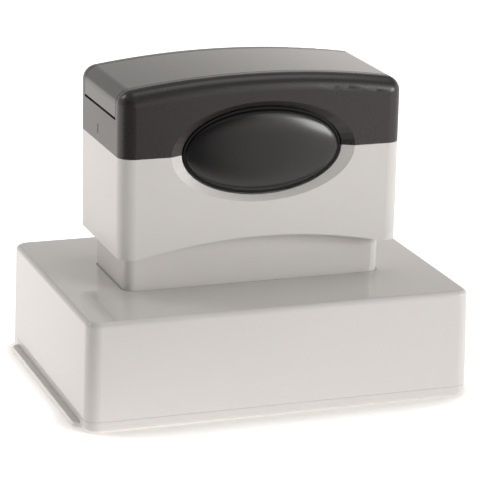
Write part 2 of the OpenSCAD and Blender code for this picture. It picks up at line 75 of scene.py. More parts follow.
class StampSizes(bpy.types.PropertyGroup):
    """Sizes of the modelled pieces."""

    mouth_r: bpy.props.FloatProperty(
        name="Mouth edge", description="Rounding of the skirt's lower edge", default=0.00012, unit="LENGTH")
    wall_corner_r: bpy.props.FloatProperty(
        name="Wall corner", description="Radius of the skirt's upright corners", default=0.00420, unit="LENGTH")
    draft: bpy.props.FloatProperty(
        name="Draft", description="How far the skirt's walls lean out at the foot", default=0.0005, unit="LENGTH")
    foot_r: bpy.props.FloatProperty(
        name="Foot edge", description="Radius of the rounded edge under the cover", default=0.0012, unit="LENGTH")
    seam_fill: bpy.props.FloatProperty(
        name="Seam fill", description="How far the cover's rim closes the gap under the skirt", default=0.00009,
        unit="LENGTH")
    lip_t: bpy.props.FloatProperty(
        name="Lip thickness", description="Height of the top of the cover's lips", default=0.0015, unit="LENGTH")
    lip_r: bpy.props.FloatProperty(
        name="Lip edge", description="Rounding of the top edge of the cover's lips", default=0.00025, unit="LENGTH")
    wire_d: bpy.props.FloatProperty(
        name="Spring wire", description="Diameter of the return springs' wire", default=0.0008, unit="LENGTH")
    coil_turns: bpy.props.IntProperty(
        name="Spring turns", description="Turns of a return spring", default=8)
    coil_steps: bpy.props.IntProperty(
        name="Steps a turn", description="Faces along one turn of a return spring", default=28)
    dome_seat: bpy.props.FloatProperty(
        name="Dome seat", description="Straight wall under the badge's dome, set into its plate",
        default=0.0004, unit="LENGTH")
    dome_over: bpy.props.FloatProperty(
        name="Dome reach", description="How far the badge's dome reaches past the CAD dome's outline",
        default=0.0005, unit="LENGTH")
    dome_rise: bpy.props.FloatProperty(
        name="Dome rise", description="Rise of the badge's dome above its plate", default=0.00245, unit="LENGTH")
    dome_power: bpy.props.FloatProperty(
        name="Dome fullness", description="How far the dome stays full before it rolls over at its edge",
        default=3.0)
    dome_rings: bpy.props.IntProperty(
        name="Dome rings", description="Rings of faces from the dome's edge to its middle", default=30)
    bezel_gap: bpy.props.FloatProperty(
        name="Bezel gap", description="Shadow gap round the badge", default=0.00015, unit="LENGTH")
    bezel_edge: bpy.props.FloatProperty(
        name="Bezel edge", description="Rounding of the bezel's two edges", default=0.00018, unit="LENGTH")
    felt_ease: bpy.props.FloatProperty(
        name="Felt ease", description="How far the felt stays inside the space that holds it",
        default=0.0004, unit="LENGTH")
    felt_nap: bpy.props.FloatProperty(
        name="Felt nap", description="Height of the felt's uneven nap", default=0.0003, unit="LENGTH")
    foam_flange: bpy.props.FloatProperty(
        name="Foam flange", description="Width of the foam die's flange", default=0.003, unit="LENGTH")
    foam_flange_t: bpy.props.FloatProperty(
        name="Flange thickness", description="Thickness of the foam die's flange", default=0.0024, unit="LENGTH")
    foam_corner_r: bpy.props.FloatProperty(
        name="Foam corner", description="Radius of the foam die's upright corners", default=0.002, unit="LENGTH")
    relief_h: bpy.props.FloatProperty(
        name="Relief", description="Height of the relief on the foam die", default=0.0006, unit="LENGTH")
    relief_inset: bpy.props.FloatProperty(
        name="Relief inset", description="Distance of the relief's border from the die's edge",
        default=0.0025, unit="LENGTH")
    relief_border: bpy.props.FloatProperty(
        name="Relief border", description="Width of the relief's border", default=0.0016, unit="LENGTH")
    relief_bar: bpy.props.FloatProperty(
        name="Relief bar", description="Depth of the relief's bars", default=0.004, unit="LENGTH")


class StampColours(bpy.types.PropertyGroup):
    """Colours of the finishes, as they look in even white light."""

    shell: bpy.props.FloatVectorProperty(
        name="Shell", description="Light warm-grey plastic of the skirt, neck and handle",
        default=(0.722, 0.7, 0.682), size=3, subtype="COLOR")
    cap: bpy.props.FloatVectorProperty(
        name="Cap", description="Smoke-black plastic of the cap", default=(0.028, 0.0235, 0.0235), size=3,
        subtype="COLOR")
    strip: bpy.props.FloatVectorProperty(
        name="Strip", description="Smoke-black plastic of the strip over the crown",
        default=(0.024, 0.0215, 0.021), size=3, subtype="COLOR")
    badge: bpy.props.FloatVectorProperty(
        name="Badge", description="Black of the badge's glossy dome", default=(0.0085, 0.008, 0.0082), size=3,
        subtype="COLOR")
    inner: bpy.props.FloatVectorProperty(
        name="Inner plastic", description="Matte plastic of the die frame, backing and ink wells",
        default=(0.34, 0.34, 0.32), size=3, subtype="COLOR")
    felt: bpy.props.FloatVectorProperty(
        name="Felt", description="Ink-soaked felt", default=(0.17, 0.012, 0.016), size=3, subtype="COLOR")
    foam: bpy.props.FloatVectorProperty(
        name="Foam", description="Inked foam of the die", default=(0.36, 0.075, 0.08), size=3, subtype="COLOR")
    rubber: bpy.props.FloatVectorProperty(
        name="Rubber", description="Rubber of the stoppers", default=(0.07, 0.07, 0.075), size=3, subtype="COLOR")
    steel: bpy.props.FloatVectorProperty(
        name="Steel", description="Zinc-plated steel of the springs, washers and screws",
        default=(0.56, 0.56, 0.58), size=3, subtype="COLOR")


class StampStage(bpy.types.PropertyGroup):
    """Camera and floor."""

    azimuth: bpy.props.FloatProperty(
        name="Azimuth", description="Camera's turn round the stamp, from the front", subtype="ANGLE",
        default=math.radians(-19.718))
    elevation: bpy.props.FloatProperty(
        name="Elevation", description="Camera's angle above the floor", subtype="ANGLE",
        default=math.radians(16.503))
    roll: bpy.props.FloatProperty(
        name="Roll", description="Camera's turn about its own axis", subtype="ANGLE", default=math.radians(1.249))
    distance: bpy.props.FloatProperty(
        name="Distance", description="Camera's distance", default=0.77978, unit="LENGTH")
    aim_right: bpy.props.FloatProperty(
        name="Aim right", description="Camera's move to its right", default=0.001768, unit="LENGTH")
    aim_up: bpy.props.FloatProperty(
        name="Aim up", description="Camera's move along its up axis", default=0.040024, unit="LENGTH")
    lens: bpy.props.FloatProperty(
        name="Lens", description="Focal length in millimetres, on a sensor 36 mm wide", default=186.548)
    floor_size: bpy.props.FloatProperty(
        name="Floor", description="Side of the square floor", default=6.0, unit="LENGTH")


# Shader maths

class Wire:
    """An output of a shader node. A sum of wires and numbers adds the Math nodes that work it out."""

    def __init__(self, socket):
        self.socket = socket

    @staticmethod
    def node(tree, kind, settings=None, inputs=None, out=0):
        """Adds a node, makes its settings, fills or links its inputs, and returns one of its outputs."""
        made = tree.nodes.new(kind)
        for name, value in (settings or {}).items():
            setattr(made, name, value)
        for name, value in (inputs or {}).items():
            plug(tree, made.inputs[name], value)
        return Wire(made.outputs[out])

    def math(self, operation, first, second):
        """Adds a Math node to this wire's tree."""
        return Wire.node(self.socket.id_data, "ShaderNodeMath", {"operation": operation}, {0: first, 1: second})

    def __add__(self, other):
        return self.math("ADD", self, other)

    def __radd__(self, other):
        return self.math("ADD", other, self)

    def __sub__(self, other):
        return self.math("SUBTRACT", self, other)

    def __rsub__(self, other):
        return self.math("SUBTRACT", other, self)

    def __mul__(self, other):
        return self.math("MULTIPLY", self, other)

    def __rmul__(self, other):
        return self.math("MULTIPLY", other, self)

    def step(self, low, high):
        """0 below low, 1 above high, with a smooth rise between them."""
        return Wire.node(
            self.socket.id_data, "ShaderNodeMapRange", {"interpolation_type": "SMOOTHSTEP"},
            {"Value": self, "From Min": low, "From Max": high})


def plug(tree, socket, value):
    """Links a wire to an input, or sets a plain value on it."""
    if isinstance(value, Wire):
        tree.links.new(value.socket, socket)
    else:
        socket.default_value = value


def feed(tree, node, **sockets):
    """Plugs wires, numbers and colours into a node's inputs by their names."""
    for name, value in sockets.items():
        plug(tree, node.inputs[name.replace("_", " ")], value)


def noise(tree, place, scale, detail=2.0, roughness=0.5):
    """Soft noise from 0 to 1, with scale cells in a metre."""
    return Wire.node(
        tree, "ShaderNodeTexNoise", None,
        {"Vector": place, "Scale": scale, "Detail": detail, "Roughness": roughness})


def mix(tree, factor, first, second):
    """Blend of two colours."""
    return Wire.node(tree, "ShaderNodeMix", {"data_type": "RGBA"}, {0: factor, 6: first, 7: second}, out=2)


def bump(tree, height, distance):
    """Normal of a surface raised by height times distance."""
    return Wire.node(tree, "ShaderNodeBump", None, {"Height": height, "Distance": distance})


# Finishes

def shade(colour, factor):
    """A colour made lighter or darker, with its alpha."""
    return (*(min(1.0, channel * factor) for channel in colour), 1.0)


def new_material(name):
    """A new node material, its tree, its shader and its Object coordinates."""
    material = bpy.data.materials.new(name)
    material.use_nodes = True
    tree = material.node_tree
    shader = tree.nodes["Principled BSDF"]
    place = Wire.node(tree, "ShaderNodeTexCoord", out="Object")
    return material, tree, shader, place


def moulded_plastic(name, colour, gloss, reflect=0.5, cloud=0.02, grain=0.000004):
    """Injection-moulded plastic: faint flow clouds, a fine eroded grain and an uneven gloss."""
    material, tree, shader, place = new_material(name)
    flow = noise(tree, place, scale=28.0, detail=3.0, roughness=0.55)
    fine = noise(tree, place, scale=2600.0, detail=2.0, roughness=0.6)
    smear = noise(tree, place, scale=75.0, detail=4.0, roughness=0.6)
    feed(
        tree, shader,
        Base_Color=mix(tree, flow, shade(colour, 1 - cloud), shade(colour, 1 + cloud)),
        Roughness=gloss + 0.05 * (smear - 0.5) + 0.03 * (fine - 0.5),
        Normal=bump(tree, fine, distance=grain),
        Specular_IOR_Level=reflect,
    )
    return material


def badge_gloss(name, colour):
    """Poured clear dome over black: deep gloss with a faint cloud and a trace of orange peel."""
    material, tree, shader, place = new_material(name)
    cloud = noise(tree, place, scale=60.0, detail=3.0)
    peel = noise(tree, place, scale=420.0, detail=1.0)
    feed(
        tree, shader,
        Base_Color=mix(tree, cloud, shade(colour, 0.9), shade(colour, 1.1)),
        Roughness=0.23 + 0.05 * (cloud - 0.5),
        Normal=bump(tree, peel, distance=0.00001),
        Specular_IOR_Level=0.42,
        Coat_Weight=0.6,
        Coat_Roughness=0.2,
    )
    return material


def inked_felt(name, colour):
    """Pressed felt, dark with ink, with a matted fibre surface."""
    material, tree, shader, place = new_material(name)
    fibre = noise(tree, place, scale=900.0, detail=6.0, roughness=0.7)
    blot = noise(tree, place, scale=45.0, detail=3.0)
    feed(
        tree, shader,
        Base_Color=mix(tree, 0.6 * blot + 0.4 * fibre, shade(colour, 0.55), shade(colour, 1.5)),
        Roughness=0.85 + 0.2 * (fibre - 0.5),
        Normal=bump(tree, fibre, distance=0.0003),
        Sheen_Weight=0.3,
    )
    return material


def inked_foam(name, colour):
    """Microporous foam, stained by the ink, with open pores and a damp sheen."""
    material, tree, shader, place = new_material(name)
    pores = Wire.node(tree, "ShaderNodeTexVoronoi", {"feature": "F1"}, {"Vector": place, "Scale": 1700.0})
    pit = pores.step(0.15, 0.5)
    blot = noise(tree, place, scale=60.0, detail=4.0)
    feed(
        tree, shader,
        Base_Color=mix(tree, 0.55 * blot + 0.45 * pit, shade(colour, 0.5), shade(colour, 1.25)),
        Roughness=0.45 + 0.25 * pit,
        Normal=bump(tree, pit, distance=0.0001),
    )
    return material


def moulded_rubber(name, colour):
    """Dull rubber with a bloom of talc."""
    material, tree, shader, place = new_material(name)
    bloom = noise(tree, place, scale=180.0, detail=5.0, roughness=0.65)
    fine = noise(tree, place, scale=2200.0)
    feed(
        tree, shader,
        Base_Color=mix(tree, bloom.step(0.35, 0.8), shade(colour, 0.85), shade(colour, 1.7)),
        Roughness=0.65 + 0.2 * (bloom - 0.5),
        Normal=bump(tree, fine, distance=0.00002),
    )
    return material


def zinc_steel(name, colour):
    """Bright zinc on steel wire and screws: fine drawn streaks and a spangled tone."""
    material, tree, shader, place = new_material(name)
    streak = noise(tree, place, scale=1500.0, detail=4.0, roughness=0.7)
    spangle = Wire.node(
        tree, "ShaderNodeTexVoronoi", {"feature": "F1"}, {"Vector": place, "Scale": 900.0}, out="Color")
    level = Wire.node(tree, "ShaderNodeRGBToBW", None, {"Color": spangle})
    feed(
        tree, shader,
        Base_Color=mix(tree, 0.5 * level + 0.5 * streak, shade(colour, 0.8), shade(colour, 1.2)),
        Metallic=1.0,
        Roughness=0.26 + 0.16 * (streak - 0.5),
        Normal=bump(tree, streak, distance=0.00002),
    )
    return material


# Modelling

ALONG_Z = 0.99  # a direction with more than this share along Z counts as vertical
ACROSS_Z = 0.1  # a direction with less than this share along Z counts as horizontal
SAME = 1e-6  # points this near are one point
FLAT_ANGLE = 0.5  # faces within this angle, in degrees, are one flat face


def deselect_all():
    bpy.ops.object.select_all(action="DESELECT")


def make_active(piece):
    deselect_all()
    piece.select_set(True)
    bpy.context.view_layer.objects.active = piece


def freeze():
    """Puts the active piece's place, turn and scale into its mesh."""
    bpy.ops.object.transform_apply(location=True, rotation=True, scale=True)


@contextlib.contextmanager
def editing(piece):
    """Edit mode on one piece, with nothing selected at the start."""
    make_active(piece)
    bpy.ops.object.mode_set(mode="EDIT")
    bpy.ops.mesh.select_all(action="DESELECT")
    yield
    bpy.ops.object.mode_set(mode="OBJECT")


def pick(piece, kind, test):
    """Selects the points, edges or faces that pass the test, in edit mode, and nothing else."""
    bpy.ops.mesh.select_mode(type=kind)
    shape = bmesh.from_edit_mesh(piece.data)
    for element in {"VERT": shape.verts, "EDGE": shape.edges, "FACE": shape.faces}[kind]:
        element.select_set(test(element))
    shape.select_flush_mode()
    bmesh.update_edit_mesh(piece.data)


def bevel_edges(piece, test, radius, segments):
    """Rounds the edges that pass the test, in edit mode."""
    pick(piece, "EDGE", test)
    bpy.ops.mesh.bevel(offset=radius, segments=segments, affect="EDGES")


def extrude(offset):
    """Extrudes the selected faces by a vector, in edit mode."""
    bpy.ops.mesh.extrude_region_move(TRANSFORM_OT_translate={"value": offset, "orient_type": "GLOBAL"})


def resize(factors, centre=(0, 0, 0)):
    """Scales what is selected about a point, in edit mode."""
    bpy.ops.transform.resize(value=factors, orient_type="GLOBAL", center_override=centre)


def face_outwards():
    """Turns all faces outwards, in edit mode."""
    bpy.ops.mesh.select_all(action="SELECT")
    bpy.ops.mesh.normals_make_consistent(inside=False)


def modify(piece, kind, **settings):
    """Adds a modifier, makes its settings and applies it."""
    make_active(piece)
    bpy.ops.object.modifier_add(type=kind)
    modifier = piece.modifiers[-1]
    for name, value in settings.items():
        setattr(modifier, name, value)
    bpy.ops.object.modifier_apply(modifier=modifier.name)


def block(low, high):
    """A cube primitive stretched between two corners, with its place in its mesh."""
    deselect_all()
    bpy.ops.mesh.primitive_cube_add(size=1.0, location=(low + high) / 2)
    piece = bpy.context.object
    piece.scale = high - low
    freeze()
    return piece


def upright(edge):
    """Whether an edge runs along Z."""
    start, end = edge.verts
    return abs((start.co - end.co).normalized().z) > ALONG_Z


def round_uprights(piece, radius):
    """Rounds the upright edges."""
    with editing(piece):
        bevel_edges(piece, upright, radius, segments=4)


def level_edge(edge, height, within):
    """Whether both ends of an edge lie within a distance of a height."""
    return all(abs(vert.co.z - height) < within for vert in edge.verts)


def faces_out(edge):
    """Whether an upright face beside the edge looks away from the middle."""
    middle = (edge.verts[0].co + edge.verts[1].co) / 2
    return any(
        abs(face.normal.z) < ACROSS_Z and face.normal.x * middle.x + face.normal.y * middle.y > 0
        for face in edge.link_faces)


def smooth(piece, angle):
    """Shades smoothly over the edges up to an angle in degrees."""
    make_active(piece)
    bpy.ops.object.shade_smooth_by_angle(angle=math.radians(angle))


def settle(piece, name, body, material, stands_for):
    """Names a finished piece, gives it its finish and seats it on its body in place of a CAD node."""
    make_active(piece)
    freeze()
    piece.name = name
    piece.data.name = name
    piece.data.materials.clear()
    piece.data.materials.append(material)
    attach(piece, body)
    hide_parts(stands_for)


def copy_of_node(name):
    """A copy of a CAD node's mesh in an object of its own, merged, with each flat face in one piece."""
    deselect_all()
    piece = bpy.data.objects.new(name + "_eased", frame["nodes"][name].data.copy())
    bpy.context.scene.collection.objects.link(piece)
    with editing(piece):
        bpy.ops.mesh.customdata_custom_splitnormals_clear()
        bpy.ops.mesh.select_all(action="SELECT")
        bpy.ops.mesh.remove_doubles(threshold=SAME)
        bpy.ops.mesh.dissolve_limited(angle_limit=math.radians(FLAT_ANGLE))
    return piece


def finish_copy(piece, name, body, material):
    """Shades the eased copy of a CAD node and seats it in the node's place."""
    smooth(piece, angle=32)
    modify(piece, "WEIGHTED_NORMAL", keep_sharp=True)
    settle(piece, name + "_eased", body, material, name)


def dress(names, material):
    """Gives CAD nodes a finish."""
    for name in names:
        mesh = frame["nodes"][name].data
        mesh.materials.clear()
        mesh.materials.append(material)


# Studio

WHITE = (1.0, 1.0, 1.0, 1.0)
BLACK = (0.0, 0.0, 0.0, 1.0)
WARM = (1.0, 0.965, 0.93)  # tint of the studio's own light
BRIGHTEST = 2.0  # highest level of that light, where 1 is white
DIM_AZIMUTH = -34  # middle of the studio's dim side, behind the camera, in degrees
BRIGHT_SIDE = (-0.81, 0.58)  # X and Y of the way to the studio's bright side, left and behind
PAINTED_SHADOW = (0.22, 0.2, 0.175, 1.0)  # colour of the painted shadow on the floor's glow, at its darkest
SHADOW_REACH = 0.014  # how far that painted shadow reaches from the stamp
SHADOW_FRONT = 0.016  # how much further it reaches in front
SENSOR_W = 36.0  # width of the camera's sensor in millimetres


def towards(azimuth, elevation):
    """Unit vector from the stamp towards a direction given in degrees, azimuth 0 at the front."""
    turn, lift = math.radians(azimuth), math.radians(elevation)
    return Vector((math.sin(turn) * math.cos(lift), -math.cos(turn) * math.cos(lift), math.sin(lift)))


def soft_lamp(name, azimuth, elevation, distance, width, height, radiance):
    """A rectangular soft box that faces the stamp. Its power follows from its radiance and area."""
    direction = towards(azimuth, elevation)
    deselect_all()
    bpy.ops.object.light_add(type="AREA", location=direction * distance)
    lamp = bpy.context.object
    lamp.name = name
    lamp.rotation_euler = direction.to_track_quat("Z", "Y").to_euler()
    lamp.data.shape = "RECTANGLE"
    lamp.data.size = width
    lamp.data.size_y = height
    lamp.data.energy = radiance * math.pi * width * height
    lamp.visible_camera = False


def axes(tree, vector, names):
    """The named axes of a vector."""
    return [Wire.node(tree, "ShaderNodeSeparateXYZ", None, {0: vector}, out=name) for name in names]


def rays(tree, kind):
    """1 for rays of one kind and 0 for the others."""
    return Wire.node(tree, "ShaderNodeLightPath", out=f"Is {kind} Ray")


def emission(tree, colour):
    """A shader that gives light."""
    return Wire.node(tree, "ShaderNodeEmission", None, {"Color": colour})


def dim_side(tree, direction):
    """1 towards the studio's dim side and 0 elsewhere. A direction's height makes no difference."""
    level = Wire.node(tree, "ShaderNodeVectorMath", {"operation": "MULTIPLY"}, {0: direction, 1: (1.0, 1.0, 0.0)})
    flat = Wire.node(tree, "ShaderNodeVectorMath", {"operation": "NORMALIZE"}, {0: level})
    middle = towards(DIM_AZIMUTH, 0)
    facing = Wire.node(
        tree, "ShaderNodeVectorMath", {"operation": "DOT_PRODUCT"}, {0: flat, 1: middle}, out="Value")
    return facing.step(0.42, 0.9)


def to_bright_side(x, y):
    """How far a place or direction lies towards the studio's bright side."""
    return BRIGHT_SIDE[1] * y + BRIGHT_SIDE[0] * x


def side_level(base, bright, gain, dim, loss):
    """A level of light that gains on the bright side and loses a share on the dim side."""
    return (base + gain * bright) * (1 - loss * dim)


def lit_colour(tree, level):
    """Colour of the studio's own light at a level that may pass 1."""
    brightest = (*(BRIGHTEST * channel for channel in WARM), 1.0)
    return mix(tree, level * (1 / BRIGHTEST), BLACK, brightest)


def floor_material():
    """White floor as the camera sees it: its glow darkens near the stamp into a painted shadow, wider in front, on
    top of the real shade from the lamps.

    Mirror views of the floor and the light that it gives are brighter on the left and dim behind the camera.
    """
    material, tree, shader, place = new_material("studio_floor")
    tree.nodes.remove(shader)
    seen = rays(tree, "Camera")
    mirrored = seen.math("MAXIMUM", rays(tree, "Glossy"), rays(tree, "Transmission"))
    x, y = axes(tree, place, "XY")
    reach = Wire.node(tree, "ShaderNodeVectorMath", {"operation": "LENGTH"}, {0: place}, out="Value")
    dim = dim_side(tree, place) * reach.step(0.05, 0.2)
    bright = to_bright_side(x, y).step(-0.15, 0.25)
    glow = side_level(base=0.43, bright=bright, gain=0.9, dim=dim, loss=0.9)
    mirror_view = side_level(base=1.0, bright=bright, gain=0.26, dim=dim, loss=0.88)
    front = 1 - y.step(-0.045, -0.02)
    # painted shadow: ambient occlusion darkens the glow that the camera sees near the stamp
    painted_shadow_ao = Wire.node(
        tree, "ShaderNodeAmbientOcclusion", {"samples": 16}, {"Distance": SHADOW_REACH + SHADOW_FRONT * front},
        out="AO")
    white = mix(tree, painted_shadow_ao.step(0.45, 0.98), PAINTED_SHADOW, WHITE)
    lamplit = Wire.node(tree, "ShaderNodeBsdfDiffuse", None, {"Color": (0.8, 0.8, 0.8, 1.0)})
    own_light = Wire.node(
        tree, "ShaderNodeMixShader", None,
        {0: seen, 1: emission(tree, lit_colour(tree, glow)), 2: emission(tree, white)})
    both = Wire.node(tree, "ShaderNodeAddShader", None, {0: lamplit, 1: own_light})
    surface = Wire.node(
        tree, "ShaderNodeMixShader", None,
        {0: mirrored, 1: both, 2: emission(tree, lit_colour(tree, mirror_view))})
    feed(tree, tree.nodes["Material Output"], Surface=surface)
    return material


def horizon_world(scene):
    """World light: a band round the horizon, brightest low on the right, under a dimmer sky.

    It is a little brighter on the left and dim behind the camera. The camera sees plain white.
    """
    world = bpy.data.worlds.new("studio_world")
    scene.world = world
    world.use_nodes = True
    tree = world.node_tree
    direction = Wire.node(tree, "ShaderNodeTexCoord", out="Generated")
    x, y, z = axes(tree, direction, "XYZ")
    right = x.step(-0.3, 0.3)
    bright = to_bright_side(x, y).step(0.3, 0.75)
    band = 1 - z.step(0.35, 0.43)
    low = 1 - z.step(0.12, 0.38)
    dim = dim_side(tree, direction) * (1 - z.step(0.5, 0.95))
    horizon = band * (0.34 + 0.5 * right * low)
    level = side_level(base=0.31 + horizon, bright=bright, gain=0.14, dim=dim, loss=0.85)
    colour = mix(tree, rays(tree, "Camera"), lit_colour(tree, level), WHITE)
    feed(tree, tree.nodes["Background"], Color=colour)


def camera_at(scene, stage):
    """Sets the camera by its angles, distance and aim."""
    back = towards(math.degrees(stage.azimuth), math.degrees(stage.elevation))
    level = Vector((math.cos(stage.azimuth), math.sin(stage.azimuth), 0))
    above = back.cross(level)
    right = math.cos(stage.roll) * level + math.sin(stage.roll) * above
    up = math.cos(stage.roll) * above - math.sin(stage.roll) * level
    eye = stage.distance * back + stage.aim_right * right + stage.aim_up * up
    deselect_all()
    bpy.ops.object.camera_add()
    camera = bpy.context.object
    camera.name = "photo_camera"
    camera.data.sensor_width = SENSOR_W
    camera.data.lens = stage.lens
    camera.data.clip_start = 0.01
    turn = Matrix((right, up, back)).transposed().to_4x4()
    camera.matrix_world = Matrix.Translation(eye) @ turn
    scene.camera = camera


# Steps

class StampOperator(bpy.types.Operator):
    """A step in dressing the stamp."""

    bl_options = {"REGISTER", "UNDO"}


class STAMP_OT_shells(StampOperator):
    """Finish the light-grey shells, and give the skirt and dust cover draft, a closed seam and rounded edges"""

    bl_idname = "stamp.shells"
    bl_label = "Shells"

    FLUSH = 0.00005  # points this near to a wall or height lie on it
    MOUTH_NEAR = 0.0003  # the skirt's mouth lies this near to the cover's rim
    RIM_NEAR = 0.00002  # edges this near to the moved rim belong to it
    FOOT_SHARE = 1.05  # how much of the cover's rounded foot leans out, in its radius

    def execute(self, context):
        colours = context.scene.stamp_colours
        sizes = context.scene.stamp_sizes
        plastic = moulded_plastic("shell_plastic", colours.shell, gloss=0.04, reflect=0.45, grain=0.0000015)
        dress(["plunger"], plastic)
        dress(["handle_body"], moulded_plastic("grip_plastic", colours.shell, gloss=0.32, reflect=0.4))
        rim_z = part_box("dust_cover")[1].z
        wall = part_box("skirt_shell")[1]
        lean = (1 + sizes.draft / wall.x, 1 + sizes.draft / wall.y, 1.0)

        def past_wall(vert):
            """How far a point lies outside the skirt's outline, seen from above."""
            x = abs(vert.co.x) - wall.x + sizes.wall_corner_r
            y = abs(vert.co.y) - wall.y + sizes.wall_corner_r
            return min(max(x, y), 0.0) + math.hypot(max(x, 0.0), max(y, 0.0)) - sizes.wall_corner_r

        def on_mouth(edge):
            """Outer edge of the skirt's mouth."""
            outer = all(past_wall(vert) > -self.FLUSH for vert in edge.verts)
            return outer and level_edge(edge, rim_z, self.MOUTH_NEAR) and faces_out(edge)

        def on_rim_top(face):
            """Upper face of the cover's rim."""
            return face.normal.z > ALONG_Z and face.calc_center_median().z > rim_z - self.FLUSH

        def outside(vert):
            """Point of the cover's outer wall, its lips or its rounded foot."""
            reach = past_wall(vert)
            on_foot = vert.co.z < sizes.foot_r and reach > -self.FOOT_SHARE * sizes.foot_r
            return reach > -self.FLUSH or on_foot

        def on_rim(edge):
            """Outer edge of the cover's moved rim."""
            return level_edge(edge, rim_z + sizes.seam_fill, self.RIM_NEAR) and faces_out(edge)

        def on_lip(edge):
            """Upper edge of a lip, beyond the leaning wall."""
            reaches = [abs(vert.co.x) - wall.x - sizes.draft for vert in edge.verts]
            beyond = min(reaches) > -self.FLUSH and max(reaches) > self.FLUSH
            return beyond and level_edge(edge, sizes.lip_t, self.FLUSH) and faces_out(edge)

        skirt = copy_of_node("skirt_shell")
        with editing(skirt):
            pick(skirt, "EDGE", on_mouth)
            resize(lean)
            bevel_edges(skirt, on_mouth, sizes.mouth_r, segments=2)
        finish_copy(skirt, "skirt_shell", "skirt", plastic)
        cover = copy_of_node("dust_cover")
        with editing(cover):
            pick(cover, "FACE", on_rim_top)
            bpy.ops.transform.translate(value=(0, 0, sizes.seam_fill), orient_type="GLOBAL")
            pick(cover, "VERT", outside)
            resize(lean)
            bevel_edges(cover, on_rim, sizes.mouth_r, segments=2)
            bevel_edges(cover, on_lip, sizes.lip_r, segments=3)
        finish_copy(cover, "dust_cover", "cover", plastic)
        return {"FINISHED"}


class STAMP_OT_cap(StampOperator):
    """Finish the smoke-black cap and the strip over its crown"""

    bl_idname = "stamp.cap"
    bl_label = "Cap and strip"

    def execute(self, context):
        colours = context.scene.stamp_colours
        dress(["top_cap"], moulded_plastic("cap_plastic", colours.cap, gloss=0.28, reflect=0.6, cloud=0.08))
        dress(["cap_strip"], moulded_plastic("strip_plastic", colours.strip, gloss=0.13, reflect=0.65, cloud=0.08))
        return {"FINISHED"}


class STAMP_OT_inner_plastics(StampOperator):
    """Finish the pieces inside: the die frame, backing plate, ink wells and stoppers"""

    bl_idname = "stamp.inner_plastics"
    bl_label = "Inner plastics"

    def execute(self, context):
        colours = context.scene.stamp_colours
        dress(
            ["die_backing", "die_frame", "ink_well_left", "ink_well_right"],
            moulded_plastic("inner_plastic", colours.inner, gloss=0.5, cloud=0.05, grain=0.00004))
        dress(["stopper_left", "stopper_right"], moulded_rubber("stopper_rubber", colours.rubber))
        return {"FINISHED"}


class STAMP_OT_fasteners(StampOperator):
    """Finish the screws and washers"""

    bl_idname = "stamp.fasteners"
    bl_label = "Screws and washers"

    def execute(self, context):
        steel = zinc_steel("zinc_steel", context.scene.stamp_colours.steel)
        dress(["spring_washers", "post_screws", "handle_screws"], steel)
        return {"FINISHED"}


class STAMP_OT_springs(StampOperator):
    """Model the four return springs as smooth coils"""

    bl_idname = "stamp.springs"
    bl_label = "Return springs"

    def execute(self, context):
        sizes = context.scene.stamp_sizes
        steel = bpy.data.materials["zinc_steel"]
        coils = [self.model_coil(sizes)]
        for _ in SPRING_NODES[1:]:
            make_active(coils[0])
            bpy.ops.object.duplicate(linked=False)
            coils.append(bpy.context.object)
        for coil, name in zip(coils, SPRING_NODES):
            low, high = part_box(name)
            foot = Vector(((low.x + high.x) / 2, (low.y + high.y) / 2, low.z))
            coil.location = foot
            settle(coil, name + "_coil", "skirt", steel, name)
            fixed_end = next(row for row in PRESS["deforming_nodes"] if row["node"] == name)["fixed_end_z_m"]
            stroke = PRESS["range_m"][1]
            length = high.z + low.z - 2 * fixed_end  # from the fixed end to the other, negative if that is below
            1 - stroke / length
            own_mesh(coil)
        return {"FINISHED"}

    @staticmethod
    def model_coil(sizes):
        """A coil that stands on the origin: a wire's section swept up a screw, with its ends closed."""
        low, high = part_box(SPRING_NODES[0])
        radius = (high.x - low.x - sizes.wire_d) / 2
        rise = high.z - low.z - sizes.wire_d
        deselect_all()
        bpy.ops.mesh.primitive_circle_add(
            vertices=14, radius=sizes.wire_d / 2, location=(radius, 0, sizes.wire_d / 2),
            rotation=(math.pi / 2, 0, 0))
        coil = bpy.context.object
        freeze()
        modify(
            coil, "SCREW", angle=2 * math.pi, screw_offset=rise / sizes.coil_turns, iterations=sizes.coil_turns,
            steps=sizes.coil_steps, render_steps=sizes.coil_steps, use_merge_vertices=False)
        with editing(coil):
            bpy.ops.mesh.select_mode(type="EDGE")
            bpy.ops.mesh.select_non_manifold()
            bpy.ops.mesh.edge_face_add()
            face_outwards()
        smooth(coil, angle=50)
        return coil


